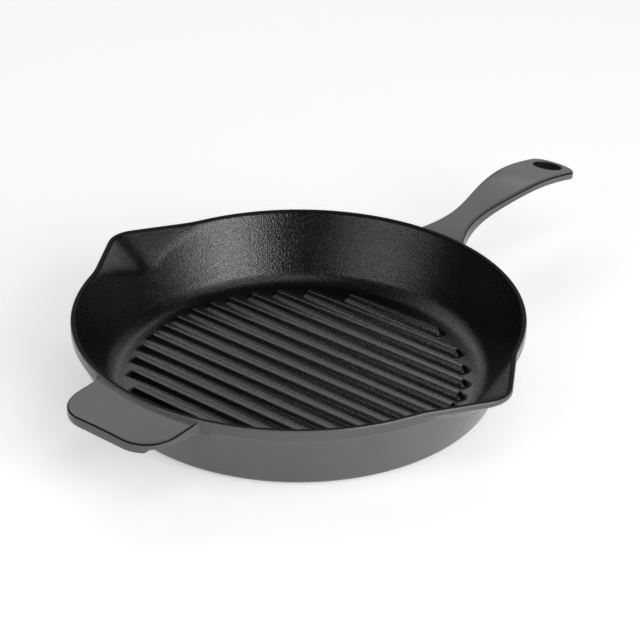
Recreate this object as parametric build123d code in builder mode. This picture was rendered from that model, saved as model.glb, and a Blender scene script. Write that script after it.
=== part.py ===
from build123d import *
import os
from math import asin, atan, atan2, cos, radians, sin, sqrt, tan

# Cast iron grill pan with raised ribs, two pour spouts, a long handle and a helper handle.
# Lengths are in millimetres and angles in degrees.
# The origin is the centre of the underside and +Z points up out of the bowl.
# The long handle points along +X, the helper handle along -X, and the spouts along +Y and -Y.

# Bowl
band_radius = 145.2          # round outer face of the band under the rim
pan_height = 50.0            # underside to rim
rim_thickness = 3.4
rim_land = 1.5               # upright strip just inside the rim
rim_outer_round = 1.2
rim_inner_round = 1.0
band_height = 7.5
band_step = 0.7              # the band stands out this far from the wall below it
wall_lean = 19.2             # how far in from the band the outer slope would meet the underside
foot_round = 7.0
wall_thickness = 4.2         # measured level with the floor
floor_thickness = 3.6
floor_round = 13.0           # between the floor and the wall, inside
floor_disc_margin = 1.1      # flat strip between the floor's own disc and its round
foot_height = 12.0           # the foot's own piece ends at this height

# Pour spouts
spout_projection = 18.6      # how far the lip's tip stands out beyond the band
spout_half = 48.0            # half the width between the places where the flanks meet the band
spout_tip_round = 20.0
spout_root_round = 60.0      # blend between flank and round rim
spout_wall = 3.8
spout_depth = 27.0           # the spout's own piece ends this far below the rim
spout_margin = 15.5          # rim that the spout's own piece keeps beyond each flank
valley_angle = 32.7          # slope of the groove below level

# Ribs
rib_pitch = 14.2
rib_height = 4.2
rib_top_width = 4.2
rib_foot_width = 8.0
rib_edge_round = 1.0
rib_end_run = 5.5            # how far an end slopes out on its way down
rib_margin = 7.5             # between the floor disc's edge and the circle where rib tops end

# Long handle: places along it are shares of its length, counted from the band
handle_length = 143.8        # from the band to the handle's end
handle_root_share = 0.047
handle_neck_share = 0.221
handle_grip_share = 0.451    # where handle_mid_half is measured
handle_crest_share = 0.68
handle_root_half = 17.0
handle_neck_half = 9.7
handle_mid_half = 14.2
handle_tip_half = 17.8
handle_corner_round = 9.0
handle_end_bow = 4.5         # how far the end arc stands out between its corners
handle_root_drop = 4.6       # top face below the rim at the root
handle_neck_rise = 2.0       # top face above the rim at the neck
handle_crest_rise = 8.9      # top face above the rim at the crest
handle_tip_rise = 0.2        # top face above the rim at the end
handle_root_thickness = 13.0
handle_neck_thickness = 8.2
handle_crest_thickness = 6.7
handle_tip_thickness = 6.8
handle_edge_round = 2.0
handle_seat = 16.0           # how far the handle's blank reaches in from the band
handle_seat_tilt = 17.0      # the root of the handle slopes up by this angle
handle_end_tilt = 13.5       # the end of the handle slopes down by this angle
handle_flare_angle = 17.0    # the blank narrows by this angle where it leaves the band
hang_hole_radius = 9.9
hang_hole_wall = 4.1         # iron between the hole and the handle's end
hang_hole_round = 0.9
eye_margin = 6.5             # the eye's own piece begins this far before the hole

# Helper handle
helper_length = 34.1         # from the band to the outer edge
helper_half = 40.6
helper_corner_round = 22.5
helper_root_round = 6.0
helper_seat = 16.0           # how far the helper handle's blank reaches in from the band
helper_drop = 3.0            # top face below the rim where it meets the band
helper_fall = 2.0            # further fall of the top face towards its outer edge
helper_thickness = 5.5       # at the lip along the outer edge
helper_edge_round = 0.9
helper_lip_width = 6.0       # the lip that fingers hold, beyond the hollow
helper_root_width = 4.0      # full thickness stays next to the band
helper_hollow_depth = 2.3    # finger hollow underneath, open at both sides
helper_hollow_round = 1.6

overrun = 20.0               # cutting shapes run this far past what they cut

# Places on the bowl that follow from the sizes above
band_floor = pan_height - band_height
land_floor = pan_height - rim_land
foot_radius = band_radius - wall_lean
wall_run = (band_radius - band_step - foot_radius) / band_floor
mouth_radius = band_radius - rim_thickness
floor_corner_radius = foot_radius + wall_run * floor_thickness - wall_thickness
inner_wall_angle = atan2(land_floor - floor_thickness, mouth_radius - floor_corner_radius)
floor_flat_radius = floor_corner_radius - floor_round * tan(inner_wall_angle / 2)
floor_disc_radius = floor_flat_radius - floor_disc_margin
rib_circle_radius = floor_disc_radius - rib_margin
rib_count = 1 + 2 * int(rib_circle_radius / rib_pitch)

# Each flank is the tangent from the place where it meets the band to the round of the tip
spout_reach = band_radius + spout_projection
spout_floor = pan_height - spout_depth
tip_centre_reach = spout_reach - spout_tip_round
tip_centre_rise = tip_centre_reach - sqrt(band_radius ** 2 - spout_half ** 2)
flank_angle = (atan(tip_centre_rise / spout_half)
               + asin(spout_tip_round / sqrt(spout_half ** 2 + tip_centre_rise ** 2)))
valley_run = 1 / tan(radians(valley_angle))
oblique_stretch = sqrt(1 + valley_run ** 2)
spout_apex = tip_centre_reach + spout_tip_round / cos(flank_angle)
groove_apex = spout_apex - rim_thickness / cos(flank_angle)
groove_tip_round = spout_tip_round - rim_thickness
skin_offset = spout_wall * sqrt(1 + (valley_run * cos(flank_angle)) ** 2)
skin_apex = groove_apex + skin_offset / cos(flank_angle)
skin_lift = rim_land + overrun
cut_reach = spout_reach + overrun
spout_zone_half = cut_reach * tan(asin((spout_half + spout_margin) / band_radius))

os.makedirs("parts", exist_ok=True)


def spout_points(apex, side):
    """Corners of one spout seen from above: its flanks run in to where they are nearest the axis."""
    root_half = apex * sin(flank_angle) * cos(flank_angle)
    root = side * apex * cos(flank_angle) ** 2
    return (-root_half, root), (0, side * apex), (root_half, root)


def save(builder, name):
    """Label the finished piece and write it under its own name."""
    builder.part.label = name
    export_step(builder.part, f"parts/{name}.step")


# Plan outline of the rim band: a circle with a blended, rounded V on each side
with BuildSketch() as band_plan:
    Circle(band_radius)
    for side in (1, -1):
        Polygon(*spout_points(spout_apex, side), align=None)
    fillet(band_plan.vertices().filter_by(lambda v: abs(v.Y) > spout_reach), spout_tip_round)
    fillet(band_plan.vertices().filter_by(lambda v: band_radius > abs(v.X) > spout_tip_round),
           spout_root_round)

# What the plan outline keeps below the rim: the round band, and under each lip a slanted V
# that runs down and inwards until it is lost in the wall
with BuildPart() as rim_limit:
    with BuildSketch(Plane.XY.offset(band_floor)):
        Circle(band_radius)
    extrude(amount=band_height + overrun)
    for side in (1, -1):
        with BuildSketch(Plane.XY.offset(land_floor + skin_lift)) as skin_plan:
            Polygon(*spout_points(skin_apex + valley_run * skin_lift, side), align=None)
            fillet(skin_plan.vertices().sort_by(Axis.Y, reverse=side < 0)[-1],
                   groove_tip_round + skin_offset)
        extrude(amount=(spout_depth + skin_lift) * oblique_stretch,
                dir=(0, -side * valley_run, -1))

with BuildPart() as rim_form:
    with BuildSketch(Plane.XY.offset(spout_floor)):
        add(band_plan.sketch)
    extrude(amount=spout_depth)
    add(rim_limit.part, mode=Mode.INTERSECT)

# Outer form of the bowl, still solid: rounded foot, sloping wall, band and spouts
with BuildPart() as bowl_block:
    with BuildSketch(Plane.XZ) as wall_profile:
        Polygon((0, 0), (foot_radius, 0), (band_radius - band_step, band_floor), (0, band_floor),
                align=None)
        fillet(wall_profile.vertices().sort_by_distance((foot_radius, 0))[0], foot_round)
    revolve(axis=Axis.Z)
    add(rim_form.part)
    fillet(bowl_block.faces().sort_by(Axis.Z)[-1].outer_wire().edges(), rim_outer_round)

# Hollow of the bowl: flat floor, large round, sloping wall, upright land and pouring grooves
with BuildPart() as hollow:
    with BuildSketch(Plane.XZ) as hollow_profile:
        Polygon((0, floor_thickness), (floor_corner_radius, floor_thickness),
                (mouth_radius, land_floor), (0, land_floor), align=None)
        corner = (floor_corner_radius, floor_thickness)
        fillet(hollow_profile.vertices().sort_by_distance(corner)[0], floor_round)
    revolve(axis=Axis.Z)
    for side in (1, -1):
        with BuildSketch(Plane.XY.offset(land_floor)) as groove_plan:
            Polygon(*spout_points(groove_apex, side), align=None)
            fillet(groove_plan.vertices().sort_by(Axis.Y, reverse=side < 0)[-1],
                   groove_tip_round)
        extrude(amount=spout_depth * oblique_stretch, dir=(0, -side * valley_run, -1))
    with BuildSketch(Plane.XY.offset(land_floor)):
        add(band_plan.sketch)
        offset(amount=-rim_thickness)
    extrude(amount=rim_land + overrun)

with BuildPart() as casting:
    add(bowl_block.part)
    add(hollow.part, mode=Mode.SUBTRACT)
    rim_face = casting.faces().filter_by(Plane.XY).sort_by(Axis.Z)[-1]
    fillet(rim_face.inner_wires()[0].edges(), rim_inner_round)

# The one casting is divided into the pieces below, which meet face to face
# Floor: the flat disc that carries the ribs
with BuildPart() as pan_floor:
    Cylinder(floor_disc_radius, floor_thickness, align=(Align.CENTER, Align.CENTER, Align.MIN))
save(pan_floor, "pan_floor")

# Space that belongs to each spout's piece: a wedge from the pan's axis
spout_zones = []
for side in (1, -1):
    with BuildPart() as spout_zone:
        with BuildSketch(Plane.XY.offset(spout_floor)):
            Polygon((0, 0), (spout_zone_half, side * cut_reach),
                    (-spout_zone_half, side * cut_reach), align=None)
        extrude(amount=spout_depth + overrun)
    spout_zones.append(spout_zone.part)

# Foot: the ring around the floor, with the rounds inside and outside
with BuildPart() as foot_ring:
    add(casting.part)
    add(pan_floor.part, mode=Mode.SUBTRACT)
    with BuildSketch():
        Circle(cut_reach)
    extrude(amount=foot_height, mode=Mode.INTERSECT)
save(foot_ring, "foot_ring")

# Side wall: from the foot up to the band, notched for the spouts
with BuildPart() as side_wall:
    add(casting.part)
    with BuildSketch(Plane.XY.offset(foot_height)):
        Circle(cut_reach)
    extrude(amount=band_floor - foot_height, mode=Mode.INTERSECT)
    add(spout_zones, mode=Mode.SUBTRACT)
save(side_wall, "side_wall")

# Rim bands: the two thick arcs between the spouts
for side, name in ((1, "rim_band_long_handle"), (-1, "rim_band_helper_handle")):
    with BuildPart() as rim_band:
        add(casting.part)
        with BuildSketch(Plane.XY.offset(band_floor)):
            with Locations((side * cut_reach / 2, 0)):
                Rectangle(cut_reach, 2 * cut_reach)
        extrude(amount=band_height + overrun, mode=Mode.INTERSECT)
        add(spout_zones, mode=Mode.SUBTRACT)
    save(rim_band, name)

# Pour spouts: lip, funnel and the stretch of wall around them
for zone, name in zip(spout_zones, ("pour_spout_left", "pour_spout_right")):
    with BuildPart() as pour_spout:
        add(casting.part)
        add(zone, mode=Mode.INTERSECT)
    save(pour_spout, name)

# Ribs: parallel bars with sloping sides and ends, cut off on a circle
for index in range(rib_count):
    rib_x = (index - (rib_count - 1) / 2) * rib_pitch
    top_length = 2 * sqrt(rib_circle_radius ** 2 - rib_x ** 2)
    with BuildPart() as grill_rib:
        with BuildSketch(Plane.XY.offset(floor_thickness)):
            with Locations((rib_x, 0)):
                Rectangle(rib_foot_width, top_length + 2 * rib_end_run)
        with BuildSketch(Plane.XY.offset(floor_thickness + rib_height)):
            with Locations((rib_x, 0)):
                Rectangle(rib_top_width, top_length)
        loft(ruled=True)
        fillet(grill_rib.faces().sort_by(Axis.Z)[-1].edges(), rib_edge_round)
    save(grill_rib, f"grill_rib_{index + 1:02d}")

# Long handle: an outline from above meets an arched side profile, and the bowl is cut away
seat_slope = tan(radians(handle_seat_tilt))
end_slope = tan(radians(handle_end_tilt))
flare_slope = tan(radians(handle_flare_angle))
handle_reach = band_radius + handle_length
seat_reach = band_radius - handle_seat
root_reach = band_radius + handle_root_share * handle_length
neck_reach = band_radius + handle_neck_share * handle_length
grip_reach = band_radius + handle_grip_share * handle_length
crest_reach = band_radius + handle_crest_share * handle_length
corner_reach = handle_reach - handle_end_bow
seat_half = handle_root_half + handle_seat
seat_top = pan_height - handle_root_drop - handle_seat * seat_slope
neck_top = pan_height + handle_neck_rise
crest_top = pan_height + handle_crest_rise
tip_top = pan_height + handle_tip_rise
hang_hole_inset = hang_hole_radius + hang_hole_wall
hang_hole_reach = handle_reach - hang_hole_inset
hang_hole_level = tip_top + end_slope * hang_hole_inset - handle_tip_thickness / 2
hang_hole_plane = Plane(origin=(hang_hole_reach, 0, hang_hole_level),
                        x_dir=(1, 0, -end_slope), z_dir=(end_slope, 0, 1))
with BuildPart() as handle_blank:
    with BuildSketch() as handle_plan:
        with BuildLine():
            Spline((seat_reach, seat_half), (root_reach, handle_root_half),
                   (neck_reach, handle_neck_half), tangents=((1, -flare_slope), (1, 0)))
            Spline((neck_reach, handle_neck_half), (grip_reach, handle_mid_half),
                   (corner_reach, handle_tip_half), tangents=((1, 0), (1, 0)))
            mirror(about=Plane.XZ)
            ThreePointArc((corner_reach, handle_tip_half), (handle_reach, 0),
                          (corner_reach, -handle_tip_half))
            Line((seat_reach, seat_half), (seat_reach, -seat_half))
        make_face()
        fillet(handle_plan.vertices().group_by(Axis.X)[-1], handle_corner_round)
    extrude(amount=pan_height + overrun)
    with BuildSketch(Plane.XZ):
        with BuildLine():
            Spline((seat_reach, seat_top), (neck_reach, neck_top), (crest_reach, crest_top),
                   (handle_reach, tip_top), tangents=((1, seat_slope), (1, -end_slope)))
            Line((handle_reach, tip_top), (handle_reach, tip_top - handle_tip_thickness))
            Spline((handle_reach, tip_top - handle_tip_thickness),
                   (crest_reach, crest_top - handle_crest_thickness),
                   (neck_reach, neck_top - handle_neck_thickness),
                   (seat_reach, seat_top - handle_root_thickness),
                   tangents=((-1, end_slope), (-1, -seat_slope)))
            Line((seat_reach, seat_top - handle_root_thickness), (seat_reach, seat_top))
        make_face()
    extrude(amount=seat_half + overrun, both=True, mode=Mode.INTERSECT)
    long_edges = handle_blank.edges().filter_by(lambda e: e.center().X > root_reach)
    fillet(long_edges.filter_by(Axis.Z, reverse=True), handle_edge_round)
    add(bowl_block.part, mode=Mode.SUBTRACT)
    with Locations(hang_hole_plane):
        Cylinder(hang_hole_radius, 2 * overrun, mode=Mode.SUBTRACT)
    hole_walls = handle_blank.faces(Select.LAST).filter_by(GeomType.CYLINDER)
    fillet(hole_walls.edges().filter_by(GeomType.LINE, reverse=True), hang_hole_round)

# The handle's own pieces: flared root, grip, and the eye around the hanging hole
eye_reach = hang_hole_reach - hang_hole_radius - eye_margin
for start, end, name in ((seat_reach, neck_reach, "handle_root"),
                         (neck_reach, eye_reach, "handle_grip"),
                         (eye_reach, handle_reach + overrun, "handle_eye")):
    with BuildPart() as handle_piece:
        add(handle_blank.part)
        with BuildSketch(Plane.YZ.offset(start)):
            Rectangle(2 * cut_reach, 2 * cut_reach)
        extrude(amount=end - start, mode=Mode.INTERSECT)
    save(handle_piece, name)

# Helper handle: a short rounded tab whose underside is hollowed behind its lip
helper_reach = band_radius + helper_length
helper_seat_reach = band_radius - helper_seat
helper_seat_half = helper_half + helper_root_round
helper_slope = helper_fall / helper_length
helper_seat_top = pan_height - helper_drop + helper_slope * helper_seat
helper_end_top = pan_height - helper_drop - helper_fall
helper_floor = helper_end_top - helper_thickness
helper_hollow_top = helper_floor + helper_hollow_depth
hollow_outer_reach = helper_reach - helper_lip_width
hollow_inner_reach = band_radius + helper_root_width
with BuildPart() as helper_handle:
    with BuildSketch() as helper_plan:
        Circle(band_radius)
        with Locations((-helper_reach / 2, 0)):
            Rectangle(helper_reach, 2 * helper_half)
        fillet(helper_plan.vertices().group_by(Axis.X)[1], helper_root_round)
        fillet(helper_plan.vertices().group_by(Axis.X)[0], helper_corner_round)
        with Locations((-(helper_seat_reach + helper_reach) / 2, 0)):
            Rectangle(helper_reach - helper_seat_reach, 2 * helper_seat_half,
                      mode=Mode.INTERSECT)
    extrude(amount=pan_height)
    with BuildSketch(Plane.XZ) as helper_profile:
        Polygon((-helper_seat_reach, helper_seat_top), (-helper_reach, helper_end_top),
                (-helper_reach, helper_floor), (-hollow_outer_reach, helper_floor),
                (-hollow_outer_reach, helper_hollow_top),
                (-hollow_inner_reach, helper_hollow_top), (-hollow_inner_reach, helper_floor),
                (-helper_seat_reach, helper_floor), align=None)
        fillet(helper_profile.vertices().group_by(Axis.Y)[1], helper_hollow_round)
    extrude(amount=helper_seat_half, both=True, mode=Mode.INTERSECT)
    top_edges = helper_handle.faces().sort_by(Axis.Z)[-1].edges()
    fillet(top_edges.filter_by(lambda e: e.center().X < -band_radius), helper_edge_round)
    lip_face = helper_handle.faces().filter_by(Plane.XY).sort_by(Axis.X)[0]
    fillet(lip_face.edges().sort_by(Axis.X)[:-1], helper_edge_round)
    add(bowl_block.part, mode=Mode.SUBTRACT)
save(helper_handle, "helper_handle")
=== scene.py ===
import math

import bmesh
import bpy
from mathutils import Matrix, Vector


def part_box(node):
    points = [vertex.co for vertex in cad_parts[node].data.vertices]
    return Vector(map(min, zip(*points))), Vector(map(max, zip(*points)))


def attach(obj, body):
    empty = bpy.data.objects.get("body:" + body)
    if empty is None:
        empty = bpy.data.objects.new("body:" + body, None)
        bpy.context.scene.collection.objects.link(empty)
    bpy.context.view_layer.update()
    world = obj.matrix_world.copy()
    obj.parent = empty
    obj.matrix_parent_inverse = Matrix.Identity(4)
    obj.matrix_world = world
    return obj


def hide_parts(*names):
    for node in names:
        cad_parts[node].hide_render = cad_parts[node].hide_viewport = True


bl_info = {
    "name": "Cast iron grill pan",
    "version": (1, 0, 0),
    "blender": (4, 5, 0),
    "location": "View3D > Sidebar > Grill pan",
    "description": "Dresses the packed grill pan in enamel and sets it on a studio floor",
    "category": "Object",
}

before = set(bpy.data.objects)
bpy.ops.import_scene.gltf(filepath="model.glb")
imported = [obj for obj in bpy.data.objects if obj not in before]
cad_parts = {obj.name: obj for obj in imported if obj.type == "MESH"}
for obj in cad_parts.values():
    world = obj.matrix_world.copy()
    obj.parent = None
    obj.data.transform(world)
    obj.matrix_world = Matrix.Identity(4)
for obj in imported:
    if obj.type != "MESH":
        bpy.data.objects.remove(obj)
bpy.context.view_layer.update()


# Sizes and colours

def size(name, description, default):
    """A length in metres, which the sidebar shows in the scene's own unit."""
    return bpy.props.FloatProperty(name=name, description=description, default=default,
                                   min=0.0, precision=5, unit="LENGTH")


def slope(name, description, degrees):
    """An angle, given in degrees and kept in radians."""
    return bpy.props.FloatProperty(name=name, description=description,
                                   default=math.radians(degrees), subtype="ANGLE")


def colour(name, description, tone):
    """A linear colour without its alpha."""
    return bpy.props.FloatVectorProperty(name=name, description=description, size=4,
                                         default=(*tone, 1), min=0.0, max=1.0, subtype="COLOR")


def factor(name, description, default):
    """A share from 0 to 1."""
    return bpy.props.FloatProperty(name=name, description=description, default=default,
                                   min=0.0, max=1.0, subtype="FACTOR")


class PanBowl(bpy.types.PropertyGroup):
    """Section of the bowl and plan of its spouts."""
    band_radius: size("Band radius", "Round outer face under the rim", 0.1452)
    height: size("Height", "Underside to rim", 0.050)
    rim_width: size("Rim width", "Thickness of the rim seen from above", 0.0034)
    rim_round: size("Rim round", "Round along both edges of the rim", 0.0011)
    land: size("Land", "Upright strip just inside the rim", 0.0015)
    band_height: size("Band height", "Height of the band under the rim", 0.0075)
    band_step: size("Band step", "How far the band stands out from the wall", 0.0007)
    step_below: size("Step below", "Start of that step, below the band's foot", 0.0005)
    step_above: size("Step above", "End of that step, above the band's foot", 0.0004)
    step_round: size("Step round", "Round at the step's start", 0.0009)
    band_round: size("Band round", "Round at the step's end", 0.0007)
    foot_radius: size("Foot radius", "Where the wall's slope meets the underside", 0.126)
    foot_round: size("Foot round", "Round between wall and underside", 0.007)
    wall: size("Wall", "Thickness of the wall, measured level", 0.0042)
    wall_bow: size("Wall bow", "Corner that hollows the wall's inside, out from its chord", 0.0022)
    bow_height: size("Bow height", "Height of that corner", 0.030)
    bow_round: size("Bow round", "Round that softens that corner", 0.170)
    land_round: size("Land round", "Round under the land", 0.0008)
    floor: size("Floor", "Thickness of the floor", 0.0036)
    floor_round: size("Floor round", "Round between floor and wall", 0.013)
    floor_edge: size("Floor edge", "Where the bowl meets the floor's disc", 0.113551)
    spout_reach: size("Spout reach", "Tip of the lip, from the pan's axis", 0.1638)
    spout_tip: size("Spout tip", "Round of the lip's tip seen from above", 0.020)
    flank: slope("Flank", "Slant of the spout's flanks seen from above", 32.4)
    valley: slope("Valley", "Slope of the pouring groove below level", 32.7)
    spout_wall: size("Spout wall", "Iron under the pouring groove", 0.0038)
    spout_foot: size("Spout foot", "Height up to which the wall stays round", 0.020)
    spout_spread: slope("Spout spread", "Half the angle that a spout takes of the wall", 27)
    plan_blend: size("Plan blend", "Softness where a flank joins the round rim", 0.0016)
    crease_blend: size("Crease blend", "Softness of the groove's creases", 0.0055)
    lip_blend: size("Lip blend", "Softness where the lip's side meets its underside", 0.0015)


class PanRibs(bpy.types.PropertyGroup):
    """Section of the grill ribs."""
    height: size("Height", "Floor to the rib's top", 0.0042)
    top_width: size("Top width", "Between the places where sides and top would meet", 0.0044)
    edge_round: size("Edge round", "Round along the top's edges", 0.0011)
    foot_round: size("Foot round", "Hollow round between side and floor", 0.0044)
    side_slope: slope("Side slope", "Steepness of the sides", 68)
    end_run: size("End run", "How far each end slopes out on its way down", 0.0055)
    end_foot: size("End foot", "How far the hollow round runs on beyond each end", 0.0009)
    end_round: size("End round", "Round left in the top's outline at each end", 0.0006)
    skirt: size("Skirt", "How deep the rib reaches into the floor", 0.0005)


class PanHandle(bpy.types.PropertyGroup):
    """Shape of the long handle. Shares of its length are counted from the band."""
    length: size("Length", "From the band to its end", 0.1438)
    seat_depth: size("Seat depth", "How deep it reaches into the band", 0.0030)
    seat_half: size("Seat half width", "Half its width inside the band", 0.0240)
    root_half: size("Root half width", "Half its width beside the band", 0.0172)
    waist_half: size("Waist half width", "Half its width between root and neck", 0.0120)
    neck_half: size("Neck half width", "Half its width where it is narrowest", 0.0100)
    middle_half: size("Middle half width", "Half its width halfway along", 0.0142)
    tip_half: size("Tip half width", "Half its width at the end", 0.0178)
    corner_round: size("Corner round", "Round of the end's corners", 0.009)
    end_bow: size("End bow", "How far the end bulges out", 0.0045)
    root_flare: factor("Root flare", "How steeply its sides close in at the root", 0.9)
    root_share: factor("Root share", "Share of the length at which the root's width is", 0.047)
    waist_share: factor("Waist share", "Share of the length at which the waist's width is", 0.13)
    neck_share: factor("Neck share", "Share of the length at which the neck is", 0.221)
    middle_share: factor("Middle share", "Share of the length at which the middle width is", 0.451)
    crest_share: factor("Crest share", "Share of the length at which the top is highest", 0.66)
    root_drop: size("Root drop", "Top face below the rim at the root", 0.0046)
    neck_rise: size("Neck rise", "Top face above the rim at the neck", 0.0022)
    crest_rise: size("Crest rise", "Top face above the rim at its highest", 0.0090)
    tip_rise: size("Tip rise", "Top face above the rim at the end", 0.0002)
    root_iron: size("Root thickness", "Thickness at the root", 0.0130)
    neck_iron: size("Neck thickness", "Thickness at the neck", 0.0092)
    crest_iron: size("Crest thickness", "Thickness at the crest", 0.0067)
    tip_iron: size("Tip thickness", "Thickness at the end", 0.0068)
    root_tilt: slope("Root tilt", "Upward slope at the root", 17)
    end_tilt: slope("End tilt", "Downward slope at the end", 13.5)
    crown: size("Crown", "How much higher the top is in its middle", 0.0005)
    edge_round: size("Edge round", "Round along the edges", 0.0017)
    hole_radius: size("Hole radius", "Hanging hole", 0.0104)
    hole_inset: size("Hole inset", "Middle of the hole, from the end", 0.0150)
    hole_round: size("Hole round", "Round along the hole's edges", 0.0010)


class PanHelper(bpy.types.PropertyGroup):
    """Shape of the helper handle."""
    reach: size("Reach", "Outer edge, from the pan's axis", 0.1793)
    seat_depth: size("Seat depth", "How deep it reaches into the band", 0.0023)
    seat_run: size("Seat run", "How far its root runs on inside the band", 0.00726)
    seat_sink: size("Seat sink", "How deep the ends of that root lie", 0.0012)
    half_width: size("Half width", "Half its width", 0.0406)
    corner_round: size("Corner round", "Round of its outer corners", 0.0225)
    root_round: size("Root round", "Round where its sides meet the band", 0.006)
    drop: size("Drop", "Top face below the rim where it meets the band", 0.003)
    fall: size("Fall", "Further fall of the top face towards its edge", 0.002)
    lip: size("Lip", "Thickness of the lip along the outer edge", 0.0055)
    edge_round: size("Edge round", "Round along the top's edge", 0.0014)
    lower_round: size("Lower round", "Round along the lip's lower edge", 0.0011)
    joint_rise: size("Joint rise", "How high the top curves up to the band", 0.0016)
    joint_run: size("Joint run", "How wide that curve is", 0.0040)
    crown: size("Crown", "How much higher the top is in its middle", 0.0017)
    hollow: size("Hollow", "Depth of the finger hollow underneath", 0.0023)
    lip_width: size("Lip width", "Lip that fingers hold, beyond the hollow", 0.006)
    root_width: size("Root width", "Full thickness kept next to the band", 0.004)
    ramp: size("Ramp", "Width of the slopes round the hollow", 0.0022)


class PanEnamel(bpy.types.PropertyGroup):
    """Colours, gloss and grain of the enamel."""
    inside: colour("Inside", "Matte enamel on the cooking side", (0.002, 0.002, 0.002))
    outside: colour("Outside", "Satin enamel on the wall and handles", (0.095, 0.095, 0.096))
    # painted shade: the dark dull coat for the rim and the handles' edges, where shade and dark
    # reflections fall
    painted_shade: colour("Painted shade", "Dark dull coat painted on edges as shade and dark reflection", (0.004, 0.004, 0.004))
    inside_gloss: factor("Inside roughness", "Roughness of the cooking side", 0.20)
    outside_gloss: factor("Outside roughness", "Roughness of the outside", 0.24)
    grain: size("Grain", "Distance between the bumps of the matte enamel", 0.0009)
    wall_grain: size("Wall grain", "Depth of those bumps on the wall", 0.00020)
    grill_grain: size("Grill grain", "Depth of those bumps on floor and ribs", 0.00010)


class PanStage(bpy.types.PropertyGroup):
    """Floor and lamps."""
    floor_width: size("Floor width", "Side of the square floor", 12.0)
    floor_tone: colour("Floor", "Colour of the floor", (0.86, 0.86, 0.86))
    floor_gap: size("Floor gap", "Between the underside and the floor", 0.0001)
    floor_glow: bpy.props.FloatProperty(name="Floor glow", description="What the camera sees more",
                                        default=0.42, min=0.0)
    light: bpy.props.FloatProperty(name="Room light", description="Strength of the even light",
                                   default=0.04, min=0.0)


# Shader sums

class Wire:
    """A node's output that takes part in sums; each operator adds a Math node."""

    def __init__(self, finish, socket):
        self.finish, self.socket = finish, socket

    def sum(self, operation, *values):
        """The outcome of a Math node; each value is a wire or a number."""
        return self.finish.node("ShaderNodeMath", {"operation": operation},
                                dict(enumerate(values)))

    def __add__(self, other):
        return self.sum("ADD", self, other)

    __radd__ = __add__

    def __mul__(self, other):
        return self.sum("MULTIPLY", self, other)

    __rmul__ = __mul__


class Finish:
    """A material that is put together node by node."""

    def __init__(self, name, tree=None):
        if tree is None:
            self.material = bpy.data.materials.new(name)
            self.material.use_nodes = True
            tree = self.material.node_tree
        self.tree = tree
        tree.nodes.clear()

    def node(self, kind, settings=(), sockets=(), output=0):
        """Adds a node: first its settings, then the values or wires of its sockets."""
        made = self.tree.nodes.new(kind)
        for name, value in dict(settings).items():
            setattr(made, name, value)
        for name, value in dict(sockets).items():
            if isinstance(value, Wire):
                self.tree.links.new(value.socket, made.inputs[name])
            else:
                made.inputs[name].default_value = value
        return Wire(self, made.outputs[output]) if made.outputs else None

    def place(self):
        """The point on the piece, in the pan's own frame."""
        return self.node("ShaderNodeTexCoord", output="Object")

    def noise(self, place, lump, detail=2.0):
        """Soft noise from 0 to 1 whose lumps are about this size."""
        return self.node("ShaderNodeTexNoise", {},
                         {"Vector": place, "Scale": 1 / lump, "Detail": detail})

    def rise(self, value, low, high, start=0.0, end=1.0):
        """Goes smoothly from start to end while value goes from low to high."""
        return self.node("ShaderNodeMapRange", {"interpolation_type": "SMOOTHSTEP"},
                         {"Value": value, "From Min": low, "From Max": high,
                          "To Min": start, "To Max": end})

    def tint(self, mask, first, second):
        """The first colour where mask is 0 and the second where it is 1."""
        return self.node("ShaderNodeMix", {"data_type": "RGBA"},
                         {"Factor": mask, 6: first, 7: second}, output=2)

    def shades(self, mask, tone, darkest, lightest):
        """The colour times a number that follows the mask."""
        return self.tint(mask, [part * darkest for part in tone[:3]] + [1],
                         [part * lightest for part in tone[:3]] + [1])

    def bump(self, height, depth, normal=None):
        """Normal of a surface whose height, from 0 to 1, stands for this depth."""
        sockets = {"Height": height, "Distance": depth, "Strength": 1.0}
        if normal is not None:
            sockets["Normal"] = normal
        return self.node("ShaderNodeBump", {}, sockets)

    def done(self, **sockets):
        """Ends the material in an enamel shader and returns it."""
        names = {"colour": "Base Color", "roughness": "Roughness", "normal": "Normal",
                 "level": "Specular IOR Level"}
        shader = self.node("ShaderNodeBsdfPrincipled", {},
                           {names[key]: value for key, value in sockets.items()})
        self.node("ShaderNodeOutputMaterial", {}, {"Surface": shader})
        return self.material


def matte_enamel(enamel, name, depth):
    """Matte black enamel with the fine sprayed grain of the cooking side."""
    finish = Finish(name)
    place = finish.place()
    grain = finish.noise(place, enamel.grain, 0.0)
    pores = finish.noise(place, enamel.grain * 0.8, 1.0)
    clouds = finish.noise(place, 0.022, 3.0)
    normal = finish.bump(grain, depth)
    normal = finish.bump(finish.noise(place, 0.007, 1.0), 0.00003, normal)
    tone = finish.shades(clouds, enamel.inside, 0.75, 1.3)
    roughness = finish.rise(pores, 0.35, 0.65, enamel.inside_gloss - 0.05,
                            enamel.inside_gloss + 0.12) + 0.03 * clouds
    return finish.done(colour=tone, roughness=roughness, normal=normal, level=0.6)


def satin_enamel(enamel):
    """Satin dark grey enamel with a faint orange peel and slow changes of tone."""
    finish = Finish("satin_enamel")
    place = finish.place()
    peel = finish.noise(place, 0.0026, 1.0)
    flow = finish.noise(place, 0.030, 2.0)
    normal = finish.bump(peel, 0.000006)
    normal = finish.bump(flow, 0.00012, normal)
    tone = finish.shades(flow, enamel.outside, 0.90, 1.10)
    roughness = enamel.outside_gloss - 0.04 + 0.06 * flow + 0.03 * peel
    return finish.done(colour=tone, roughness=roughness, normal=normal, level=0.4)


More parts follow.
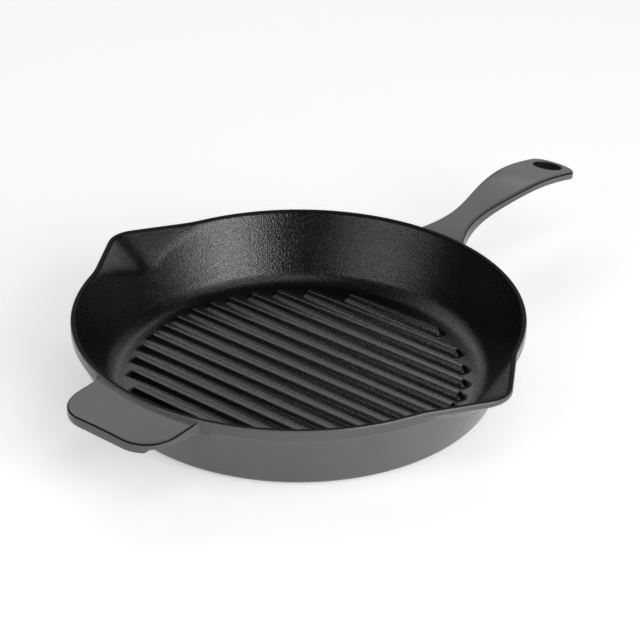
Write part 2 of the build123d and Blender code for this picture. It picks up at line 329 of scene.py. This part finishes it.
def painted_shade_enamel(enamel):
    """Dark, dull coat that paints shade and dark reflections onto the rim, the handles' top edges
    and the hanging hole's wall.
    """
    finish = Finish("painted_shade_enamel")
    clouds = finish.noise(finish.place(), 0.006, 2.0)
    tone = finish.shades(clouds, enamel.painted_shade, 0.5, 2.0)
    return finish.done(colour=tone, roughness=0.5 + 0.2 * clouds, level=0.12)


# Working with meshes

SAME = 0.00001      # places nearer than this are taken for one


def settled():
    """Ends edit mode and deselects everything."""
    if bpy.context.object and bpy.context.object.mode != "OBJECT":
        bpy.ops.object.mode_set(mode="OBJECT")
    bpy.ops.object.select_all(action="DESELECT")


def picked(piece):
    """Leaves one piece selected and active."""
    settled()
    piece.select_set(True)
    bpy.context.view_layer.objects.active = piece


def edges_where(test, shortest=0.0):
    """Selects the edges in edit mode whose ends both pass the test and that are long enough."""
    bpy.ops.mesh.select_mode(type="EDGE")
    mesh = bmesh.from_edit_mesh(bpy.context.object.data)
    bpy.ops.mesh.select_all(action="DESELECT")
    for edge in mesh.edges:
        edge.select = edge.calc_length() >= shortest and all(
            test(corner.co) for corner in edge.verts)
    mesh.select_flush_mode()
    bmesh.update_edit_mesh(bpy.context.object.data)


def corner_at(place):
    """Selects the corner of the mesh in edit mode that is nearest to a place."""
    bpy.ops.mesh.select_mode(type="VERT")
    mesh = bmesh.from_edit_mesh(bpy.context.object.data)
    bpy.ops.mesh.select_all(action="DESELECT")
    nearest = min(mesh.verts, key=lambda corner: (corner.co - place).length)
    nearest.select = True
    mesh.select_flush_mode()
    bmesh.update_edit_mesh(bpy.context.object.data)


def outline(name, corners):
    """A flat face in edit mode, drawn corner by corner. Each corner is a place and its round."""
    settled()
    places = [Vector(place) for place, turn, steps in corners]
    bpy.ops.mesh.primitive_plane_add(size=0.001)
    piece = bpy.context.object
    piece.name = piece.data.name = name
    bpy.ops.object.mode_set(mode="EDIT")
    bpy.ops.mesh.select_mode(type="VERT")
    bpy.ops.mesh.merge(type="CENTER")
    bpy.ops.transform.translate(value=places[0])
    for here, there in zip(places, places[1:]):
        bpy.ops.mesh.extrude_vertices_move(TRANSFORM_OT_translate={"value": there - here})
    bpy.ops.mesh.select_all(action="SELECT")
    bpy.ops.mesh.edge_face_add()
    count = len(places)
    for index, (place, turn, steps) in enumerate(corners):
        if turn:
            before = (places[index - 1] - places[index]).normalized()
            after = (places[(index + 1) % count] - places[index]).normalized()
            reach = turn / math.tan(before.angle(after) / 2)
            corner_at(places[index])
            bpy.ops.mesh.bevel(offset=reach, segments=steps, affect="VERTICES")
    return piece


def thicken(depth):
    """Gives the flat outline in edit mode sides and a second face, faces outward."""
    bpy.ops.mesh.select_all(action="SELECT")
    bpy.ops.mesh.extrude_region_move(TRANSFORM_OT_translate={"value": (0, 0, depth)})
    bpy.ops.mesh.select_all(action="SELECT")
    bpy.ops.mesh.normals_make_consistent(inside=False)


def slice_up(axis, first, last, parts):
    """Cuts the mesh in edit mode across an axis, at even steps between two places."""
    for step in range(1, parts):
        place = axis * (first + (last - first) * step / parts)
        bpy.ops.mesh.select_all(action="SELECT")
        bpy.ops.mesh.bisect(plane_co=place, plane_no=axis)


def shape(piece, move):
    """Moves each corner of a finished mesh to where the rule puts it."""
    settled()
    for corner in piece.data.vertices:
        corner.co = move(corner.co)


def smoothed(piece, degrees=35):
    """Smooth shading, with edges sharper than this kept crisp."""
    picked(piece)
    bpy.ops.object.shade_smooth_by_angle(angle=math.radians(degrees))


def coated(piece, *coats):
    """Gives a piece its coats, which its faces name by their place in this list."""
    for coat in coats:
        piece.data.materials.append(bpy.data.materials[coat])


def rides(piece, slot, *nodes):
    """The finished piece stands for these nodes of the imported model."""
    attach(piece, "root")
    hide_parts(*nodes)


# Bowl

def softer(first, second, blend):
    """The larger of two radii, rounded where they are nearly equal."""
    near = max(blend - abs(first - second), 0.0) / blend
    return max(first, second) + near * near * blend / 4


def lesser(first, second, blend):
    """The smaller of two radii, rounded in the same way."""
    return -softer(-first, -second, blend)


def spout_radius(turn, apex, tip, flank):
    """Distance from the axis to a spout's plan outline, at an angle from its middle."""
    turn = abs(turn)
    centre = apex - tip / math.cos(flank)
    if turn < math.atan2(tip * math.sin(flank), centre + tip * math.cos(flank)):
        across = centre * math.sin(turn)
        return centre * math.cos(turn) + math.sqrt(tip ** 2 - across ** 2)
    return apex * math.cos(flank) / math.cos(turn - flank)


def wall_run(bowl):
    """How much wider the outside of the wall gets per metre of height."""
    return (bowl.band_radius - bowl.band_step - bowl.foot_radius) \
        / (bowl.height - bowl.band_height)


def step_heights(bowl):
    """Where the step from wall to band starts and ends."""
    band_foot = bowl.height - bowl.band_height
    return band_foot - bowl.step_below, band_foot + bowl.step_above


def bowl_corners(bowl):
    """Section of the bowl, each corner with its round and the steps in it."""
    top, run, (step_low, step_high) = bowl.height, wall_run(bowl), step_heights(bowl)
    mouth = bowl.band_radius - bowl.rim_width
    foot_inside = bowl.foot_radius + run * bowl.floor - bowl.wall
    bow = (mouth + foot_inside) / 2 + bowl.wall_bow
    return [
        ((bowl.floor_edge, 0, 0), 0, 0),
        ((bowl.foot_radius, 0, 0), bowl.foot_round, 14),
        ((bowl.foot_radius + run * step_low, 0, step_low), bowl.step_round, 4),
        ((bowl.band_radius, 0, step_high), bowl.band_round, 4),
        ((bowl.band_radius, 0, top), bowl.rim_round, 7),
        ((mouth, 0, top), bowl.rim_round, 7),
        ((mouth, 0, top - bowl.land), bowl.land_round, 4),
        ((bow, 0, bowl.bow_height), bowl.bow_round, 10),
        ((foot_inside, 0, bowl.floor), bowl.floor_round, 18),
        ((bowl.floor_edge, 0, bowl.floor), 0, 0),
    ]


def shape_spouts(piece, bowl):
    """Draws the wall and rim out into the two spouts, with soft creases and a rounded valley."""
    run, (step_low, step_high) = wall_run(bowl), step_heights(bowl)
    mouth = bowl.band_radius - bowl.rim_width
    flank, fall = bowl.flank, 1 / math.tan(bowl.valley)
    cosine = math.cos(flank)
    land = bowl.height - bowl.land
    apex = bowl.spout_reach - bowl.spout_tip + bowl.spout_tip / cosine
    groove_apex = apex - bowl.rim_width / cosine
    groove_tip = bowl.spout_tip - bowl.rim_width
    skin = bowl.spout_wall * math.sqrt(1 + (fall * cosine) ** 2)
    for corner in piece.data.vertices:
        x, y, z = corner.co
        radius = math.hypot(x, y)
        turn = math.atan2(x, abs(y))
        if z < bowl.spout_foot or abs(turn) > bowl.spout_spread:
            continue
        below = land - z
        inner = min(mouth, mouth - run * below)
        rising = min(max((z - step_low) / (step_high - step_low), 0.0), 1.0)
        outer = (bowl.foot_radius + run * min(z, step_low)) * (1 - rising) \
            + bowl.band_radius * rising
        groove = spout_radius(turn, groove_apex - fall * max(below, 0.0), groove_tip, flank)
        lip = spout_radius(turn, apex, bowl.spout_tip, flank)
        under = spout_radius(turn, groove_apex + skin / cosine - fall * below,
                             groove_tip + skin, flank)
        blend = bowl.crease_blend if below > 0 else bowl.plan_blend
        if below > bowl.land and radius < outer - bowl.wall / 2:
            inner = radius
        shift_in = softer(inner, groove, blend) - inner
        shift_out = softer(outer, lesser(lip, under, bowl.lip_blend), bowl.plan_blend) - outer
        across = min(max((radius - inner) / (outer - inner), 0.0), 1.0)
        moved = (radius + shift_in * (1 - across) + shift_out * across) / radius
        corner.co.x, corner.co.y = x * moved, y * moved


class PAN_OT_bowl(bpy.types.Operator):
    """Turn the bowl's section round its axis and draw the spouts out of its wall"""
    bl_idname = "pan.bowl"
    bl_label = "Bowl"

    def execute(self, context):
        bowl = context.scene.pan_bowl
        piece = outline("bowl", bowl_corners(bowl))
        bpy.ops.mesh.select_all(action="SELECT")
        bpy.ops.mesh.delete(type="ONLY_FACE")
        land, band_foot = bowl.height - bowl.land, step_heights(bowl)[0] - 0.001
        # Lowest and highest place, shortest edge and number of cuts: outer wall, inner wall, band
        for low, high, shortest, cuts in ((0.002, land, 0.020, 44), (0.002, land, 0.006, 20),
                                          (band_foot, bowl.height - 0.001, 0.003, 7)):
            edges_where(lambda place: low < place.z < high, shortest)
            bpy.ops.mesh.subdivide(number_cuts=cuts)
        bpy.ops.mesh.select_all(action="SELECT")
        bpy.ops.mesh.spin(steps=360, angle=math.tau, use_auto_merge=True,
                          center=(0, 0, 0), axis=(0, 0, 1))
        bpy.ops.mesh.select_all(action="SELECT")
        bpy.ops.mesh.remove_doubles(threshold=0.000001)
        bpy.ops.mesh.normals_make_consistent(inside=False)
        settled()

        run, rim_foot = wall_run(bowl), bowl.height - bowl.rim_round
        rim_edge = bowl.band_radius - bowl.rim_round / 2
        rim_middle = bowl.band_radius - bowl.rim_width / 2
        coated(piece, "satin_enamel", "matte_enamel", "painted_shade_enamel")
        for face in piece.data.polygons:
            radius, z = math.hypot(*face.center[:2]), face.center.z
            wall = bowl.foot_radius + run * z - bowl.wall / 2
            inside = z > bowl.floor / 2 and radius < min(wall, rim_middle)
            # the rim's top, short of the middle of its outer round, gets slot 2: painted shade
            # with a painted lack of reflection
            face.material_index = int(inside) if z < rim_foot else 2 * int(radius < rim_edge)
        shape_spouts(piece, bowl)
        smoothed(piece)
        rides(piece, "wall_enamel", "side_wall", "foot_ring", "rim_band_long_handle",
              "rim_band_helper_handle", "pour_spout_left", "pour_spout_right")
        return {"FINISHED"}


# Ribs

def rib_rings(rib):
    """Half width and height of each ring of a rib's surface, from the floor up."""
    bend = math.tan(rib.side_slope / 2)
    corner = rib.top_width / 2
    foot = corner + rib.height / math.tan(rib.side_slope)
    foot_steps, edge_steps = 12, 6
    rings = []
    for step in range(foot_steps + 1):
        turn = rib.side_slope * step / foot_steps
        rings.append((foot + rib.foot_round * (bend - math.sin(turn)),
                      rib.foot_round * (1 - math.cos(turn))))
    for step in range(edge_steps + 1):
        turn = rib.side_slope * (1 - step / edge_steps)
        rings.append((corner - rib.edge_round * (bend - math.sin(turn)),
                      rib.height - rib.edge_round * (1 - math.cos(turn))))
    return rings


class PAN_OT_ribs(bpy.types.Operator):
    """Raise one rib out of its foot's outline ring by ring, and copy it to each rib's length"""
    bl_idname = "pan.ribs"
    bl_label = "Ribs"

    def execute(self, context):
        rib = context.scene.pan_ribs
        rings = rib_rings(rib)
        foot, top = rings[0][0], rings[-1][0]
        names = sorted(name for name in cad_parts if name.startswith("grill_rib"))
        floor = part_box(names[0])[0].z
        half = 0.03     # the pattern's half length, which each rib's own replaces
        corner = foot - top + rib.end_round
        pattern = outline("rib_pattern", [((x, y, floor), corner, 6) for x, y in (
            (-foot, -half), (foot, -half), (foot, half), (-foot, half))])
        thicken(-rib.skirt)
        bpy.ops.mesh.select_mode(type="FACE")
        bpy.ops.mesh.select_all(action="DESELECT")
        mesh = bmesh.from_edit_mesh(pattern.data)
        for face in mesh.faces:
            face.select = face.normal.z > 0.9
        bmesh.update_edit_mesh(pattern.data)
        for (wide, low), (narrow, high) in zip(rings, rings[1:]):
            bpy.ops.mesh.inset(thickness=wide - narrow, depth=high - low)
        settled()
        run_on = rib.end_run + rib.end_foot - (foot - top)
        for name in names:
            lowest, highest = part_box(name)
            length = highest.y + rib.end_foot - half
            middle = (lowest.x + highest.x) / 2
            picked(pattern)
            bpy.ops.object.duplicate()
            piece = context.object
            piece.name = piece.data.name = name.replace("grill_rib", "rib")

            def move(place):
                rise = max(place.z - floor, 0) / rib.height
                end = math.copysign(length - run_on * rise, place.y)
                return Vector((place.x + middle, place.y + end, place.z))

            shape(piece, move)
            coated(piece, "grill_enamel")
            smoothed(piece)
            rides(piece, "cooking_surface", name)
        bpy.data.objects.remove(pattern)
        return {"FINISHED"}


# Handles: both are cut from a slab between these heights and then bent to their profile
SLAB_TOP, SLAB_BOTTOM = 0.050, 0.040


def is_upper(z):
    """Whether a height lies in the slab's upper half."""
    return z > (SLAB_TOP + SLAB_BOTTOM) / 2


def rounded(height, turn, steps, test):
    """Rounds the edges in edit mode that lie at one height and pass the test."""
    edges_where(lambda place: abs(place.z - height) < SAME and test(place))
    bpy.ops.mesh.bevel(offset=turn, segments=steps, affect="EDGES")


def through(knots, first, last):
    """The cubic spline through some points, as a function, with these slopes at its ends."""
    gaps = [b[0] - a[0] for a, b in zip(knots, knots[1:])]
    slopes = [first] + [0.0] * (len(knots) - 2) + [last]
    for sweep in range(60):
        for i in range(1, len(knots) - 1):
            before, after = gaps[i - 1], gaps[i]
            pull = 3 * ((knots[i][1] - knots[i - 1][1]) / before ** 2
                        + (knots[i + 1][1] - knots[i][1]) / after ** 2)
            slopes[i] = (pull - slopes[i - 1] / before - slopes[i + 1] / after) \
                / (2 * (1 / before + 1 / after))

    def curve(x):
        i = max(k for k in range(len(gaps)) if k == 0 or knots[k][0] <= x)
        t = (x - knots[i][0]) / gaps[i]
        low, high = knots[i][1], knots[i + 1][1]
        return low + (high - low) * t * t * (3 - 2 * t) \
            + gaps[i] * t * (1 - t) * (slopes[i] * (1 - t) - slopes[i + 1] * t)

    return curve


def arc(centre, radius, start, end, steps):
    """Places along an arc in the XY plane, from one angle to another, without the first."""
    turns = [start + (end - start) * step / steps for step in range(1, steps + 1)]
    return [(centre[0] + radius * math.cos(turn), centre[1] + radius * math.sin(turn))
            for turn in turns]


def handle_plan(grip, half, seat, reach):
    """Outline of the long handle from above, from one side round its end to the other."""
    bulge = (grip.tip_half ** 2 + grip.end_bow ** 2) / (2 * grip.end_bow)
    level = grip.tip_half - grip.corner_round
    ahead = math.sqrt((bulge - grip.corner_round) ** 2 - level ** 2)
    turned = math.atan2(level, ahead)
    corner = reach - bulge + ahead
    steps = 44
    side = [(x, half(x)) for x in (seat + (corner - seat) * step / steps
                                   for step in range(steps + 1))]
    side += arc((corner, level), grip.corner_round, math.pi / 2, turned, 12)
    side += arc((reach - bulge, 0), bulge, turned, 0, 6)
    widest = math.asin(side[0][1] / seat)
    return side + [(x, -y) for x, y in reversed(side[:-1])] \
        + arc((0, 0), seat, -widest, widest, 12)[:-1]


def handle_slab(grip, band):
    """The long handle's plan cut from the slab, with rounded edges."""
    seat, reach = band - grip.seat_depth, band + grip.length
    half = through([(seat, grip.seat_half),
                    (band + grip.root_share * grip.length, grip.root_half),
                    (band + grip.waist_share * grip.length, grip.waist_half),
                    (band + grip.neck_share * grip.length, grip.neck_half),
                    (band + grip.middle_share * grip.length, grip.middle_half),
                    (reach - grip.end_bow, grip.tip_half)], -grip.root_flare, 0)
    piece = outline("long_handle", [((x, y, SLAB_TOP), 0, 0)
                                    for x, y in handle_plan(grip, half, seat, reach)])
    thicken(SLAB_BOTTOM - SLAB_TOP)
    for height in (SLAB_TOP, SLAB_BOTTOM):
        rounded(height, grip.edge_round, 5,
                lambda place: math.hypot(place.x, place.y) > seat + 0.0005)
    return piece


def drill_hole(piece, grip, middle):
    """Drills the hanging hole through the slab, and ends in edit mode with its edges round."""
    settled()
    bpy.ops.mesh.primitive_cylinder_add(
        vertices=72, radius=grip.hole_radius, depth=0.03,
        location=(middle, 0, (SLAB_TOP + SLAB_BOTTOM) / 2))
    drill = bpy.context.object
    picked(piece)
    hole = piece.modifiers.new("hole", "BOOLEAN")
    hole.operation, hole.object = "DIFFERENCE", drill
    bpy.ops.object.modifier_apply(modifier="hole")
    bpy.data.objects.remove(drill)
    bpy.ops.object.mode_set(mode="EDIT")
    for height in (SLAB_TOP, SLAB_BOTTOM):
        rounded(height, grip.hole_round, 4, lambda place: abs(
            math.hypot(place.x - middle, place.y) - grip.hole_radius) < 5 * SAME)


def handle_bend(grip, bowl):
    """The rule that bends the slab to the long handle's arched profile."""
    band, rim, run = bowl.band_radius, bowl.height, wall_run(bowl)
    seat, reach = band - grip.seat_depth, band + grip.length
    neck, crest = band + grip.neck_share * grip.length, band + grip.crest_share * grip.length
    rise, fall = math.tan(grip.root_tilt), -math.tan(grip.end_tilt)
    above = through([(seat, rim - grip.root_drop - grip.seat_depth * rise),
                     (neck, rim + grip.neck_rise), (crest, rim + grip.crest_rise),
                     (reach, rim + grip.tip_rise)], rise, fall)
    iron = through([(seat, grip.root_iron), (neck, grip.neck_iron),
                    (crest, grip.crest_iron), (reach, grip.tip_iron)], 0, 0)

    def move(place):
        x, y, z = place
        if is_upper(z):
            here = above(x) + z - SLAB_TOP - grip.crown * min(abs(y) / grip.tip_half, 1) ** 2
        else:
            here = above(x) - iron(x) + z - SLAB_BOTTOM
        radius = math.hypot(x, y)
        if radius < seat + 0.0002:      # the seat leans with the wall, 2 mm inside it
            back = min(seat, bowl.foot_radius + run * here - 0.002) / radius
            x, y = x * back, y * back
        return Vector((x, y, here))

    return move


class PAN_OT_handle(bpy.types.Operator):
    """Cut the long handle's plan, drill and round it, and bend it to its arched profile"""
    bl_idname = "pan.handle"
    bl_label = "Long handle"

    def execute(self, context):
        grip, bowl = context.scene.pan_handle, context.scene.pan_bowl
        band, reach = bowl.band_radius, bowl.band_radius + grip.length
        middle = reach - grip.hole_inset
        piece = handle_slab(grip, band)
        drill_hole(piece, grip, middle)
        slice_up(Vector((1, 0, 0)), band - 0.001, reach - 0.001, 60)
        slice_up(Vector((0, 1, 0)), -grip.tip_half, grip.tip_half, 14)
        settled()
        coated(piece, "satin_enamel", "painted_shade_enamel")
        for face in piece.data.polygons:
            x, y, z = face.center
            from_hole = math.hypot(x - middle, y)
            # painted shade: the top's edge rounds and the hole's wall get the dark dull coat
            edge = is_upper(z) and 0.15 < face.normal.z < 0.6
            drilled = from_hole < grip.hole_radius + 0.0002 and abs(face.normal.z) < 0.3
            face.material_index = int(drilled or edge and from_hole > grip.hole_radius + 0.0015)
        shape(piece, handle_bend(grip, bowl))
        smoothed(piece, 50)
        rides(piece, "outer_enamel", "handle_root", "handle_grip", "handle_eye")
        return {"FINISHED"}


def helper_plan(tab, band):
    """Corners of the helper handle from above, each with its round and the steps in it."""
    seat, sunk = band - tab.seat_depth, band - tab.seat_sink
    root = math.asin(tab.half_width / band)
    beyond = root + tab.seat_run / band
    half_seat = 12
    plan = [(-sunk * math.cos(beyond), sunk * math.sin(beyond), 0, 0),
            (-band * math.cos(root), tab.half_width, tab.root_round, 6),
            (-tab.reach, tab.half_width, tab.corner_round, 20)]
    plan += [(x, -y, turn, steps) for x, y, turn, steps in reversed(plan)]
    for step in range(2 * half_seat + 1):
        turn = beyond * (step / half_seat - 1)
        plan.append((-seat * math.cos(turn), seat * math.sin(turn), 0, 0))
    return plan


def helper_bend(tab, bowl):
    """The rule that crowns the helper's top and hollows the slab from below."""
    band = bowl.band_radius
    slant = tab.fall / (tab.reach - band)
    shoulder = bowl.height - tab.drop
    lower = shoulder - tab.fall - tab.lip
    root_crown, crown_run = 0.3, 0.020      # share of the crown at the band, and run to the rest

    def move(place):
        x, y, z = place
        away = math.hypot(x, y) - band
        if is_upper(z):
            near = min(max(1 - away / tab.joint_run, 0), 1)
            crowned = (1 - min(abs(y) / tab.half_width, 1) ** 2) \
                * min(max(root_crown + away / crown_run, root_crown), 1)
            level = shoulder + slant * (x + band) + tab.crown * crowned \
                + tab.joint_rise * near ** 3
            return Vector((x, y, z - SLAB_TOP + level))
        ramp_out = (tab.reach - tab.lip_width + x) / tab.ramp + 0.5
        ramp_in = (-x - band - tab.root_width) / tab.ramp + 0.5
        deep = min(max(min(ramp_out, ramp_in), 0), 1)
        deep = deep * deep * (3 - 2 * deep)
        return Vector((x, y, z - SLAB_BOTTOM + lower + tab.hollow * deep))

    return move


class PAN_OT_helper(bpy.types.Operator):
    """Cut the helper handle's slab, round its edges and curve its top up to the band"""
    bl_idname = "pan.helper"
    bl_label = "Helper handle"

    def execute(self, context):
        tab, bowl = context.scene.pan_helper, context.scene.pan_bowl
        band = bowl.band_radius
        piece = outline("helper_tab", [((x, y, SLAB_TOP), turn, steps)
                                       for x, y, turn, steps in helper_plan(tab, band)])
        thicken(SLAB_BOTTOM - SLAB_TOP)
        for level, turn in ((SLAB_TOP, tab.edge_round), (SLAB_BOTTOM, tab.lower_round)):
            rounded(level, turn, 4, lambda place: math.hypot(place.x, place.y) > band + 0.0002)
        coated(piece, "satin_enamel", "painted_shade_enamel")
        mesh = bmesh.from_edit_mesh(piece.data)
        for face in mesh.faces:
            # painted shade: the round along the top's edge gets the dark dull coat, standing in
            # for a dark reflection
            face.material_index = int(0.45 < face.normal.z < 0.9)
        bmesh.update_edit_mesh(piece.data)
        slice_up(Vector((1, 0, 0)), -tab.reach + 0.001, -band + 0.007, 22)
        slice_up(Vector((1, 0, 0)), -band - 0.006, -band + 0.007, 16)    # finer beside the band
        slice_up(Vector((0, 1, 0)), -tab.half_width, tab.half_width, 32)
        shape(piece, helper_bend(tab, bowl))
        smoothed(piece, 50)
        rides(piece, "outer_enamel", "helper_handle")
        return {"FINISHED"}


class PAN_OT_enamel(bpy.types.Operator):
    """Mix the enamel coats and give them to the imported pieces"""
    bl_idname = "pan.enamel"
    bl_label = "Enamel"

    def execute(self, context):
        enamel = context.scene.pan_enamel
        matte_enamel(enamel, "matte_enamel", enamel.wall_grain)
        grill = matte_enamel(enamel, "grill_enamel", enamel.grill_grain)
        satin = satin_enamel(enamel)
        painted_shade_enamel(enamel)
        for name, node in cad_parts.items():
            cooking = name == "pan_floor" or name.startswith("grill_rib")
            for slot in node.material_slots:
                slot.material = grill if cooking else satin
        return {"FINISHED"}


# Stage: each lamp's azimuth and elevation in degrees, distance, width, height and power
LAMPS = (("key_lamp", -99, 18, 1.7, 1.00, 1.01, 18.5),
         ("key_upper_lamp", -90, 42, 1.7, 1.24, 0.42, 5.0),
         ("key_right_lamp", -70, 12, 1.7, 0.60, 0.72, 2.0),
         ("side_lamp", 172, 22, 1.7, 1.30, 1.00, 7.0),
         ("back_left_lamp", 14, 20, 2.4, 1.65, 1.20, 4.2),
         ("back_right_lamp", 52, 8, 2.4, 1.65, 0.55, 1.7),
         ("back_upper_lamp", 46, 40, 2.4, 1.90, 1.20, 9.0),
         ("right_lamp", 95, 42, 1.7, 1.40, 0.68, 3.0),
         ("top_lamp", -100, 70, 2.2, 2.05, 0.86, 7.0))


# Camera: its place and the directions that are right and up in the photograph
CAMERA_PLACE = (-0.94445891, -0.81197680, 0.74148741)
CAMERA_RIGHT = Vector((0.64507902, -0.76410377, 0.00429877))
CAMERA_UP = Vector((0.37156025, 0.31858813, 0.87203474))


def seen_or_mirrored(finish):
    """1 for what the camera sees, straight or in a mirror or glass."""
    rays = [finish.node("ShaderNodeLightPath", output=name)
            for name in ("Is Camera Ray", "Is Glossy Ray", "Is Transmission Ray")]
    return rays[0].sum("MAXIMUM", rays[0], rays[1].sum("MAXIMUM", rays[1], rays[2]))


class PAN_OT_stage(bpy.types.Operator):
    """Set the pan on a pale floor under soft lamps, seen from the photograph's place"""
    bl_idname = "pan.stage"
    bl_label = "Stage"

    def execute(self, context):
        stage = context.scene.pan_stage
        scene = context.scene
        settled()
        bpy.ops.mesh.primitive_grid_add(x_subdivisions=8, y_subdivisions=8,
                                        size=stage.floor_width,
                                        location=(0, 0, -stage.floor_gap))
        floor = context.object
        floor.name = "studio_floor"
        paper = Finish("floor_paper")
        lit = paper.node("ShaderNodeBsdfDiffuse", {}, {"Color": stage.floor_tone})
        glow = paper.node("ShaderNodeEmission", {}, {"Color": (1, 1, 1, 1),
                                                     "Strength": stage.floor_glow})
        both = paper.node("ShaderNodeAddShader", {}, {0: lit, 1: glow})
        shader = paper.node("ShaderNodeMixShader", {}, {0: seen_or_mirrored(paper), 1: lit,
                                                        2: both})
        paper.node("ShaderNodeOutputMaterial", {}, {"Surface": shader})
        floor.data.materials.append(paper.material)

        scene.world = bpy.data.worlds.new("studio")
        scene.world.use_nodes = True
        room = Finish("studio", scene.world.node_tree)
        even = room.node("ShaderNodeBackground", {}, {"Color": (1, 1, 1, 1),
                                                      "Strength": stage.light})
        room.node("ShaderNodeOutputWorld", {}, {"Surface": even})

        for name, azimuth, elevation, away, width, height, watts in LAMPS:
            turn, lift = math.radians(azimuth), math.radians(elevation)
            towards = Vector((math.cos(turn) * math.cos(lift), math.sin(turn) * math.cos(lift),
                              math.sin(lift)))
            bpy.ops.object.light_add(type="AREA", location=towards * away)
            lamp = context.object
            lamp.name = name
            lamp.data.shape, lamp.data.energy = "RECTANGLE", watts
            lamp.data.size, lamp.data.size_y = width, height
            lamp.rotation_euler = towards.to_track_quat("Z", "Y").to_euler()
            lamp.visible_camera = False

        bpy.ops.object.camera_add(location=CAMERA_PLACE)
        camera = context.object
        camera.name = "photo_camera"
        facing = Matrix((CAMERA_RIGHT, CAMERA_UP, CAMERA_RIGHT.cross(CAMERA_UP)))
        camera.rotation_euler = facing.transposed().to_euler()
        camera.data.sensor_width = 36
        camera.data.lens = 125.5718
        camera.data.shift_x, camera.data.shift_y = -0.0016, 0.0009
        camera.data.clip_start = 0.05
        camera.data.clip_end = 50
        scene.camera = camera
        scene.view_settings.view_transform = "Standard"
        return {"FINISHED"}


class PAN_PT_sidebar(bpy.types.Panel):
    """Lists the steps and the sizes and colours they use"""
    bl_label = "Grill pan"
    bl_idname = "PAN_PT_sidebar"
    bl_space_type = "VIEW_3D"
    bl_region_type = "UI"
    bl_category = "Grill pan"

    def draw(self, context):
        for step in STEPS:
            self.layout.operator(step.bl_idname)
        for group in GROUPS:
            values = getattr(context.scene, group)
            box = self.layout.box()
            for name in values.bl_rna.properties.keys():
                if name not in ("rna_type", "name"):
                    box.prop(values, name)


STEPS = (PAN_OT_enamel, PAN_OT_bowl, PAN_OT_ribs, PAN_OT_handle, PAN_OT_helper, PAN_OT_stage)
GROUPS = {"pan_bowl": PanBowl, "pan_ribs": PanRibs, "pan_handle": PanHandle,
          "pan_helper": PanHelper, "pan_enamel": PanEnamel, "pan_stage": PanStage}


def register():
    """Adds the operators, the panel and the scene's groups of sizes."""
    for made in (*GROUPS.values(), *STEPS, PAN_PT_sidebar):
        bpy.utils.register_class(made)
    for name, group in GROUPS.items():
        setattr(bpy.types.Scene, name, bpy.props.PointerProperty(type=group))


def unregister():
    """Takes them away again."""
    for name in GROUPS:
        delattr(bpy.types.Scene, name)
    for made in reversed((*GROUPS.values(), *STEPS, PAN_PT_sidebar)):
        bpy.utils.unregister_class(made)


def main():
    """Registers the add-on and runs its steps, which build the pan and its stage."""
    register()
    for step in STEPS:
        area, name = step.bl_idname.split(".")
        getattr(getattr(bpy.ops, area), name)()
    settled()


if __name__ == "__main__":
    main()
